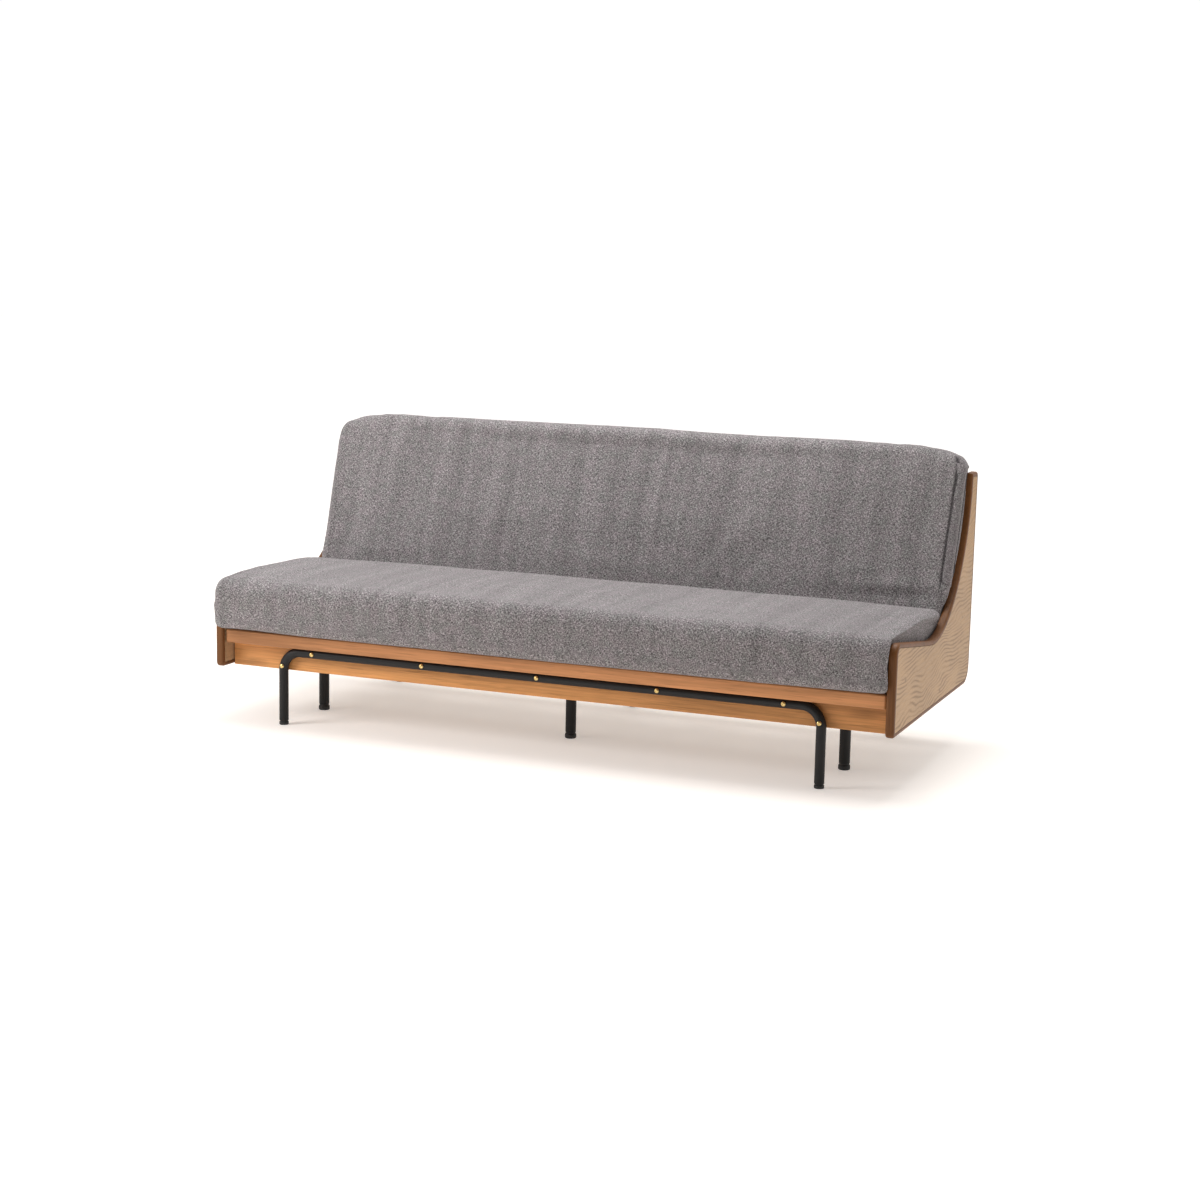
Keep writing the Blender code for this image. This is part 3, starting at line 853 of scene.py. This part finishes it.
def inflate(item, limit, swell, pressure=4.0, frames=20):
    """Lets the cover swell and crease under the stuffing's pressure, no further than limit.

    A taut cover draws in as it fills, so the pad is then brought back to its size, swell larger.
    """
    before = read_points(item)
    normals = read_normals(item)
    cloth = item.modifiers.new("stuffing", "CLOTH")
    settings = cloth.settings
    settings.quality = 6
    settings.mass = 0.4
    settings.tension_stiffness = 18.0
    settings.compression_stiffness = 18.0
    settings.shear_stiffness = 6.0
    settings.bending_stiffness = 0.6
    settings.use_pressure = True
    settings.uniform_pressure_force = pressure
    settings.effector_weights.gravity = 0.0
    cloth.collision_settings.use_collision = False
    cloth.point_cache.frame_start = 1
    cloth.point_cache.frame_end = frames
    scene = bpy.context.scene
    for number in range(1, frames + 1):
        scene.frame_set(number)
    after = read_points(item.evaluated_get(bpy.context.evaluated_depsgraph_get()))
    item.modifiers.remove(cloth)
    scene.frame_set(1)
    low, high = before.min(axis=0) - swell, before.max(axis=0) + swell
    share = (after - after.min(axis=0)) / (after.max(axis=0) - after.min(axis=0))
    move = low + share * (high - low) - before
    sunk = np.minimum((move * normals).sum(axis=1, keepdims=True), 0.0)
    move -= normals * sunk * FIRM_FOAM
    length = np.linalg.norm(move, axis=1, keepdims=True)
    move *= np.minimum(1.0, limit / np.maximum(length, 1e-9))
    write_points(item, before + move)


def smooth(value, low, high):
    t = np.clip((value - low) / (high - low), 0.0, 1.0)
    return t * t * (3 - 2 * t)


def cloudy(points, factors, seed):
    """Smooth noise at each point, about -1 to 1."""
    shift = Vector((seed * 7.3, seed * 3.1, seed * 5.7))
    stretched = points * np.array(factors)
    return np.array([noise.noise(Vector(p) + shift) for p in stretched])


def ridge(across, up, centre, angle, length, width):
    """A soft fold: 1 along a short line at that angle, fading out over its width and length."""
    turn = math.radians(angle)
    a, b = across - centre[0], up - centre[1]
    along = a * math.cos(turn) + b * math.sin(turn)
    aside = b * math.cos(turn) - a * math.sin(turn)
    return np.exp(-0.5 * (aside / width) ** 2 - 0.5 * (along / length) ** 2)


def panel_clearance(points):
    """How far each point lies outside the side panels' outline, seen from the end."""
    outline = np.array([tuple(p) for p in outline_of("side_panel_right")])
    nearest, inside = distance_to(outline, points[:, 1:])
    return np.where(inside, -nearest, nearest)


def keep_between_panels(points, left_bulge, right_bulge, travel=0.0):
    """Presses the ends flat against the side panels, and lets them bulge where no panel is.

    Where the cushion slides forward by travel, an end bulges only where it stays clear all the way.
    """
    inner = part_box("side_panel_right")[0].x - PANEL_GAP
    ends = np.abs(points[:, 0]) > inner
    clear = np.min(
        [panel_clearance(points[ends] - (0, shift, 0)) for shift in np.linspace(0, travel, 8)],
        axis=0)
    free = smooth(clear, 0.003, 0.022)
    points[ends, 0] = np.clip(
        points[ends, 0], -inner - left_bulge * free, inner + right_bulge * free)
    return points


def groove(item, rings, count, depth, end, share, inset=0.0015, painted_shade=0.0):
    """Draws the cover in along an end seam, inset from the front.

    share, for each outline point, is from 0 to 1. The last argument paints shade into the seam's colour, through
    the crease attribute.
    """
    points = read_points(item)
    normals = read_normals(item)
    crease = item.data.attributes.get("crease")
    if crease is None:
        crease = item.data.attributes.new("crease", "FLOAT", "POINT")
    dark = np.zeros(len(points), np.float32)
    crease.data.foreach_get("value", dark)
    boxed = [i for i, (x, inset, _) in enumerate(rings) if inset > 0 and x * end > 0]
    seam = min(boxed, key=lambda i: abs(rings[i][1] - inset))
    for ring, amount in ((seam, 1.0), (seam + 1, 0.30), (seam - 1, 0.30)):
        rows = slice(ring * count, (ring + 1) * count)
        points[rows] -= normals[rows] * (depth * amount * share)[:, None]
        # painted shade for the seam's groove, which the tweed reads from the crease attribute
        dark[rows] = np.maximum(dark[rows], painted_shade * amount * share)
    write_points(item, points)
    crease.data.foreach_set("value", dark)


def ease(item, chosen, rounds):
    """Smooths the chosen points of a cover, so that it lies without puckers there."""
    with editing(item) as shape:
        verts = [shape.verts[i] for i in np.flatnonzero(chosen)]
        for _ in range(rounds):
            bmesh.ops.smooth_vert(
                shape, verts=verts, factor=0.5, use_axis_x=True, use_axis_y=True, use_axis_z=True)


def subdivide(item):
    subdivision = item.modifiers.new("rounding", "SUBSURF")
    subdivision.levels = 1
    subdivision.render_levels = 1
    bpy.context.view_layer.objects.active = item
    with bpy.context.temp_override(object=item, active_object=item):
        bpy.ops.object.modifier_apply(modifier=subdivision.name)
    item.data.shade_smooth()


def finish_cushion(item, node):
    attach(item, BODY_OF[node])
    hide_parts(node)


PANEL_GAP = 0.0014  # between a cushion's end and the side panel it is pressed against
SWELL = 0.003  # how far a filled cushion stands out past its box
END_BULGE = {"left": 0.027, "seat_right": 0.011, "back_right": 0.012}
SEAT_TRAVEL = 0.280
SEAT_HALF = 0.934
SEAT_RING_PITCH = 0.0145
BACK_HALF = 0.922
BACK_RING_PITCH = 0.0118
SEAT_LEFT_RISE = 0.010


def build_seat_cushion(material):
    sizes = bpy.context.scene.sofa_sizes
    low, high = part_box("seat_cushion")
    front, rear = low.y + SWELL, high.y - 0.002
    bottom, top = low.z + 0.001, high.z - SWELL
    slope = (high.z - low.z) * math.tan(LEAN)
    corners = [
        ((front, bottom), 0.018),
        ((rear - slope, bottom), 0.018),
        ((rear, top), 0.026),
        ((front, top), 0.046),
    ]
    middle = (bottom + top) / 2
    core = ((front + 0.065, middle), (rear - 0.085, middle))
    half = SEAT_HALF
    item, rings, count = cushion_mesh(
        "seat_cushion_cover", corners, half, 0.021, SEAT_RING_PITCH, core, material)
    inflate(item, sizes.puff * 0.7, SWELL)
    points = read_points(item)
    normals = read_normals(item)
    x, y, _ = points.T
    up = np.clip(normals[:, 2], 0.0, 1.0)
    ahead = np.clip(-normals[:, 1], 0.0, 1.0)
    crown = sizes.seat_crown * (1 - (np.abs(x) / half) ** 8) * smooth(y, front, front + 0.20)
    crown *= 1 - 0.6 * smooth(y, rear - 0.10, rear)
    left_end = smooth(-x, half - 0.26, half - 0.06)
    middle_depth = smooth(y, front, front + 0.12) * (1 - smooth(y, rear - 0.16, rear))
    crown += SEAT_LEFT_RISE * left_end * middle_depth
    points[:, 2] += up * crown
    points[:, 0] *= np.where(x < 0, 1.0025, 1.0)
    waves = cloudy(points, (4.0, 8.0, 8.0), 1) * 0.0022
    waves += cloudy(points, (12.0, 16.0, 16.0), 2) * 0.0009
    points += normals * (waves * (0.4 + 0.6 * np.maximum(up, ahead)))[:, None]
    write_points(item, points)
    for end in (-1, 1):
        groove(item, rings, count, sizes.seam_depth * 0.25, end, np.ones(count))
    subdivide(item)
    points = keep_between_panels(
        read_points(item), END_BULGE["left"], END_BULGE["seat_right"], SEAT_TRAVEL)
    points[:, 2] = np.maximum(points[:, 2], low.z)
    lean_line = high.y + (points[:, 2] - high.z) * math.tan(LEAN) + 0.001
    points[:, 1] = np.minimum(points[:, 1], np.maximum(lean_line, high.y - slope - 0.03))
    write_points(item, points)
    finish_cushion(item, "seat_cushion")


def upright_box(node):
    """The box of a leaning node, measured in the leaning plane's own upright axes."""
    stand = np.array(Matrix.Rotation(LEAN, 3, "X"))
    points = read_points(frame["nodes"][node]) @ stand.T
    return points.min(axis=0), points.max(axis=0)


def lean_back(points):
    return points @ np.array(Matrix.Rotation(-LEAN, 3, "X")).T


def build_back_cushion(material):
    """Made upright, then leaned back with the slats behind it."""
    sizes = bpy.context.scene.sofa_sizes
    low, high = upright_box("back_cushion")
    front, rear, foot, top = low[1], high[1], low[2], high[2]
    corners = [
        ((front + SWELL, foot), 0.030),
        ((rear - 0.001, foot), 0.030),
        ((rear - 0.001, top - SWELL), 0.034),
        ((front + SWELL, top - SWELL), 0.032),
    ]
    middle = (front + rear) / 2
    core = ((middle, foot + 0.065), (middle, top - 0.068))
    half = BACK_HALF
    item, rings, count = cushion_mesh(
        "back_cushion_cover", corners, half, 0.015, BACK_RING_PITCH, core, material)
    round_shoulders(item, half, top - SWELL)
    inflate(item, sizes.puff, SWELL)
    height = dress_back(item, half, front, rear, foot, top)
    ring = slice((len(rings) // 2) * count, (len(rings) // 2 + 1) * count)
    on_front = smooth(front + 0.030 - read_points(item)[ring, 1], 0.0, 0.01)
    seam_span = smooth(height[ring], 0.150, 0.175) * (1 - smooth(height[ring], 0.512, 0.528))
    for end in (-1, 1):
        groove(item, rings, count, sizes.seam_depth * 0.3, end, np.ones(count))
    # The right end's front seam is also darkened with painted shade.
    groove(item, rings, count, sizes.seam_depth * 1.4, 1, on_front * seam_span, 0.0015, 1.0)
    subdivide(item)
    points = read_points(item)
    points[:, 1] = np.minimum(points[:, 1], rear)
    points[:, 2] = np.maximum(points[:, 2], foot + 0.0005)
    points = keep_between_panels(
        lean_back(points), END_BULGE["left"], END_BULGE["back_right"])
    write_points(item, points)
    finish_cushion(item, "back_cushion")
    return item


def round_shoulders(item, half, top):
    """Rounds the back cushion's two top corners, the left one more than the right."""
    points = read_points(item)
    x, _, z = points.T
    shoulder = np.where(x < 0, 0.100, 0.085)
    drop = np.where(x < 0, 0.063, 0.053)
    beyond_x = np.clip((np.abs(x) - half + shoulder) / shoulder, 0.0, None)
    beyond_z = np.clip((z - top + drop) / drop, 0.0, None)
    limited = (beyond_x > 0) & (beyond_z > 0)
    largest = np.maximum(beyond_x, beyond_z)
    ratio = np.where(limited, largest / np.maximum(np.hypot(beyond_x, beyond_z), 1e-9), 1.0)
    rounded_x = np.sign(x) * (half - shoulder + shoulder * beyond_x * ratio)
    rounded_z = top - drop + drop * beyond_z * ratio
    points[:, 0] = np.where(limited, rounded_x, x)
    points[:, 2] = np.where(limited, rounded_z, z)
    write_points(item, points)


def dress_back(item, half, front, rear, foot, top):
    """Widens the back cushion's ends, shapes its top edge and lays its flutes and folds.

    It returns each point's height above the foot, as it was before.
    """
    sizes = bpy.context.scene.sofa_sizes
    points = read_points(item)
    normals = read_normals(item)
    x, y, z = points.T
    height = z - foot
    ahead = np.clip(-normals[:, 1], 0.0, 1.0)
    wide = np.where(x < 0, 1.009 + 0.021 * smooth(height, 0.08, 0.48), 1.012)
    thickness = (y - front) / (rear - front)
    core_share = np.clip(1 - (2 * thickness - 1) ** 2, 0.0, 1.0)
    shoulder_fill = 0.008 * smooth(height, top - foot - 0.14, top - foot - 0.04)
    end_fill = np.where(x < 0, 0.004 + shoulder_fill, 0.010)
    wide += end_fill * core_share * smooth(np.abs(x), half - 0.10, half - 0.01)
    points[:, 0] = x * wide
    crown = sizes.back_crown * (1 - (np.abs(x) / half) ** 5) - 0.003 * x / half
    crown += np.interp(x, *TOP_EDGE)
    points[:, 2] += crown * smooth(height, 0.10, top - foot)
    puffed = 0.007 * core_share
    points[:, 2] += puffed * smooth(height, top - foot - 0.06, top - foot - 0.02)
    flutes = cloudy(points, (15.0, 1.0, 2.2), 3) * 0.0022 * smooth(height, 0.05, 0.25)
    waves = cloudy(points, (4.0, 4.0, 5.0), 4) * 0.0025
    folds = 0.0
    for centre, angle, length, width, rise in BACK_FOLDS:
        folds = folds + rise * ridge(x, height, centre, angle, length, width)
    points += normals * ((flutes + waves + folds) * ahead)[:, None]
    write_points(item, points)
    ease(item, (np.abs(x) > half - 0.10) & (z > top - 0.085), 8)
    return height


TOP_EDGE = (
    # Places along the back cushion's top edge, and how far it rises there
    (-0.90, -0.85, -0.78, -0.70, -0.45, -0.10,
     0.05, 0.20, 0.35, 0.60, 0.75, 0.85),
    (-0.0045, -0.0038, 0.0008, 0.0, 0.0, 0.0035,
     0.0035, -0.0008, -0.0030, -0.0020, -0.0045, -0.0085),
)

BACK_FOLDS = (
    # Centre along the cushion and up from its foot, angle, half length, half width, rise
    ((0.33, 0.235), 58.0, 0.075, 0.016, 0.0038),
    ((0.42, 0.205), 62.0, 0.060, 0.014, -0.0034),
    ((0.26, 0.190), 52.0, 0.055, 0.016, -0.0030),
    ((0.80, 0.150), 4.0, 0.090, 0.010, 0.0042),
    ((0.78, 0.125), 2.0, 0.110, 0.009, -0.0040),
    ((0.66, 0.180), 12.0, 0.060, 0.014, 0.0022),
    ((-0.86, 0.345), -38.0, 0.030, 0.009, -0.0042),
    ((-0.87, 0.215), -30.0, 0.026, 0.008, -0.0038),
    ((-0.70, 0.140), 6.0, 0.090, 0.012, 0.0026),
    ((-0.10, 0.160), -6.0, 0.120, 0.014, 0.0020),
)


def end_surface(cushion):
    """A function from a place on the right end, (y, z) upright, to a leaned point just proud."""
    shape = bmesh.new()
    shape.from_mesh(cushion.data)
    search = BVHTree.FromBMesh(shape)
    shape.free()

    def spot(y, z, proud):
        leaned = lean_back(np.array([[0.0, y, z]]))[0]
        hit, _, _, _ = search.ray_cast(Vector((1.2, leaned[1], leaned[2])), Vector((-1, 0, 0)))
        if hit is None:
            raise RuntimeError("the cushion's end has no surface there")
        return Vector((hit.x + proud, leaned[1], leaned[2]))

    return spot


def ribbon(name, spot, centre_y, width, thick, z_from, z_to, material, steps=60):
    """A thin strip laid on the cushion's end, with a rounded section."""
    section = [(-0.5, -0.6), (-0.5, 0.45), (-0.42, 0.9), (-0.2, 1.0), (0.2, 1.0), (0.42, 0.9),
               (0.5, 0.45), (0.5, -0.6)]
    points = []
    for i in range(steps + 1):
        z = z_from + (z_to - z_from) * i / steps
        for across, out in section:
            points.append(spot(centre_y + across * width, z, out * thick))
    around = len(section)
    faces = strip_faces(steps + 1, around)
    faces.append(tuple(range(around)))
    faces.append(tuple(range(steps * around, (steps + 1) * around)))
    item = mesh_object(name, points, faces, material)
    clean_up(item)
    return item


TOOTH_PITCH = 0.0028
TOOTH_CORNERS = ((-0.0014, -0.0009), (0.0014, -0.0009), (0.0014, 0.0009), (-0.0014, 0.0009))
BOX_FACES = (
    (0, 3, 2, 1), (4, 5, 6, 7), (0, 1, 5, 4), (1, 2, 6, 5), (2, 3, 7, 6), (3, 0, 4, 7),
)


def build_zip(cushion, cover, nylon):
    """A fabric flap along the boxing, with the zip's tape, teeth and pull beside it."""
    spot = end_surface(cushion)
    low, high = upright_box("zip_tape")
    middle = (low[1] + high[1]) / 2
    z_from, z_to = low[2], high[2]
    tape = ribbon("zip_tape_woven", spot, middle, 0.011, 0.0009, z_from, z_to, nylon)
    settle(tape, "zip_tape")
    teeth_points, teeth_faces = [], []
    for i in range(int((z_to - z_from - 0.02) / TOOTH_PITCH)):
        z = z_from + 0.01 + i * TOOTH_PITCH
        side = 0.0009 if i % 2 else -0.0009
        first = len(teeth_points)
        for out in (0.0002, 0.0019):
            for dy, dz in TOOTH_CORNERS:
                teeth_points.append(spot(middle + side + dy, z + dz, out))
        teeth_faces += [tuple(first + k for k in face) for face in BOX_FACES]
    teeth = mesh_object("zip_teeth", teeth_points, teeth_faces, nylon, smooth=False)
    clean_up(teeth)
    pull_low, pull_high = upright_box("zip_pull")
    pull = ribbon(
        "zip_slider", spot, middle, 0.0058, 0.0030, pull_low[2], pull_high[2], nylon, steps=12)
    settle(pull, "zip_pull")
    flap = ribbon(
        "zip_flap", spot, middle - 0.0200, 0.026, 0.0022, z_from - 0.03, z_to + 0.006, cover)
    for piece, slot in ((teeth, "zip"), (flap, "fabric")):
        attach(piece, BODY_OF["zip_tape"])


# ---------------------------------------------------------------- studio


FLOOR_REACH = 30.0
FLOOR_GLOW = 0.36
WORLD_FRONT = 0.02
WORLD_REAR = 0.80
SQUARE = ((-1, -1), (1, -1), (1, 1), (-1, 1))
CAMERA_LENS = 61.5
CAMERA_PLACE = (2.1263, -5.0419, 1.2385)
CAMERA_TURN, CAMERA_DOWN, CAMERA_ROLL = 22.62, 9.159, 1.185  # degrees
LAMPS = (
    # Name, place, what it points at, diameter, watts
    ("overhead", (0.1, 0.4, 3.0), (0.0, 0.0, 0.3), 2.6, 83.0),
    ("left_key", (-2.2, -1.9, 1.5), (-0.7, 0.0, 0.4), 1.3, 48.0),
)


def build_studio():
    """Pale floor, soft overhead light, bright surroundings, and the camera."""
    scene = bpy.context.scene
    scene.view_settings.view_transform = "Standard"
    scene.view_settings.look = "None"
    finish = Finish(bpy.data.materials.new("studio_floor"))
    place = finish.place()
    speckle = finish.cloud(place, 3.0, 2.0, 0.5)
    x, y, _ = finish.split(place)
    distance = (x * x + y * y) ** 0.5
    glow = finish.mix(distance.step(1.4, 4.6), (1.0, 0.955, 0.925), (1.75, 1.74, 1.73))
    paint = finish.mix(speckle, (0.80, 0.765, 0.73), (0.82, 0.785, 0.75))
    material = finish.done(
        Base_Color=paint,
        Roughness=0.7,
        Specular_IOR_Level=0.2,
        Emission_Color=glow,
        Emission_Strength=FLOOR_GLOW,
    )
    corners = [(x * FLOOR_REACH, y * FLOOR_REACH, 0.0) for x, y in SQUARE]
    floor = mesh_object("floor", corners, [(0, 1, 2, 3)], material, smooth=False)

    world = bpy.data.worlds.new("studio")
    scene.world = world
    air = Finish(world)
    direction = air.add("ShaderNodeTexCoord", output="Generated")
    _, y, z = air.split(direction)
    walls = WORLD_FRONT + (y + z * 0.5).step(-0.75, 0.55) * (WORLD_REAR - WORLD_FRONT)
    seen = air.add("ShaderNodeLightPath", output="Is Camera Ray")
    strength = walls + (1.02 - walls) * seen
    backdrop = air.add(
        "ShaderNodeBackground", sockets={"Color": (1.0, 0.995, 0.985, 1.0), "Strength": strength})
    air.add_output(backdrop, "ShaderNodeOutputWorld")

    for name, spot, aim, size, power in LAMPS:
        lamp = bpy.data.lights.new(name, "AREA")
        lamp.shape = "DISK"
        lamp.size = size
        lamp.energy = power
        holder = add_object(name, lamp)
        holder.location = spot
        holder.rotation_euler = (Vector(aim) - Vector(spot)).to_track_quat("-Z", "Y").to_euler()

    view = bpy.data.cameras.new("camera")
    view.lens = CAMERA_LENS
    view.sensor_width = 36.0
    holder = add_object("camera", view)
    turn = Matrix.Rotation(math.radians(CAMERA_TURN), 4, "Z")
    tilt = Matrix.Rotation(math.radians(90.0 - CAMERA_DOWN), 4, "X")
    roll = Matrix.Rotation(math.radians(CAMERA_ROLL), 4, "Z")
    holder.matrix_world = Matrix.Translation(CAMERA_PLACE) @ turn @ tilt @ roll
    scene.camera = holder


# ---------------------------------------------------------------- operators


class SOFA_OT_boards(bpy.types.Operator):
    """Finishes the rails, apron, beams and slats"""

    bl_idname = "sofa.boards"
    bl_label = "Boards and slats"

    def execute(self, context):
        slats = [
            straight_wood("slat_wood_" + run, sofa_colour("slats"), axis, 1.22, 0.72)
            for axis, run in enumerate(("long", "cross", "upright"))
        ]
        rail = straight_wood("rail_wood", sofa_colour("rail"), 0, 1.25, 0.62)
        apron = straight_wood("apron_wood", sofa_colour("apron"), 0, 1.30, 0.66, knots=0.55)
        for node, item in frame["nodes"].items():
            if SLOT_OF[node] == "slat_wood":
                low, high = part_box(node)
                longest = max(range(3), key=lambda axis: high[axis] - low[axis])
                item.data.materials[0] = slats[longest]
            elif node == "front_rail":
                item.data.materials[0] = rail
            elif node == "apron":
                item.data.materials[0] = apron
        return {"FINISHED"}


class SOFA_OT_side_panels(bpy.types.Operator):
    """Builds both side panels with their lippings"""

    bl_idname = "sofa.side_panels"
    bl_label = "Side panels"

    def execute(self, context):
        face = panel_wood()
        # The lipping's material carries painted shade as well as its wood's tone.
        edge = straight_wood("lipping_wood", sofa_colour("panel_edge"), 2, 1.25, 0.7)
        for side in ("left", "right"):
            build_side_panel(side, face, edge)
        return {"FINISHED"}


class SOFA_OT_metalwork(bpy.types.Operator):
    """Builds the tube leg, round legs, feet and bolts"""

    bl_idname = "sofa.metalwork"
    bl_label = "Legs, feet and bolts"

    def execute(self, context):
        steel = black_steel()
        build_tube_leg(steel)
        build_turned_nodes(steel, dark_plastic(), brass())
        return {"FINISHED"}


class SOFA_OT_cushions(bpy.types.Operator):
    """Stuffs and covers both cushions, and sews in the zip"""

    bl_idname = "sofa.cushions"
    bl_label = "Cushions"

    def execute(self, context):
        cover = tweed()
        build_seat_cushion(cover)
        back = build_back_cushion(cover)
        build_zip(back, cover, zip_nylon())
        return {"FINISHED"}


class SOFA_OT_studio(bpy.types.Operator):
    """Sets up the floor, the light and the camera"""

    bl_idname = "sofa.studio"
    bl_label = "Studio"

    def execute(self, context):
        build_studio()
        return {"FINISHED"}


STEPS = (
    SOFA_OT_boards,
    SOFA_OT_side_panels,
    SOFA_OT_metalwork,
    SOFA_OT_cushions,
    SOFA_OT_studio,
)


class SOFA_PT_panel(bpy.types.Panel):
    """Lists the steps of the build"""

    bl_label = "Sofa bed"
    bl_space_type = "VIEW_3D"
    bl_region_type = "UI"
    bl_category = "Sofa bed"

    def draw(self, context):
        for step in STEPS:
            self.layout.operator(step.bl_idname)


CLASSES = (SofaSizes, SofaColours, *STEPS, SOFA_PT_panel)


def register():
    for item in CLASSES:
        bpy.utils.register_class(item)
    bpy.types.Scene.sofa_sizes = bpy.props.PointerProperty(type=SofaSizes)
    bpy.types.Scene.sofa_colours = bpy.props.PointerProperty(type=SofaColours)


def unregister():
    del bpy.types.Scene.sofa_colours
    del bpy.types.Scene.sofa_sizes
    for item in reversed(CLASSES):
        bpy.utils.unregister_class(item)


def main():
    register()
    for step in STEPS:
        group, name = step.bl_idname.split(".")
        getattr(getattr(bpy.ops, group), name)()


if __name__ == "__main__":
    main()
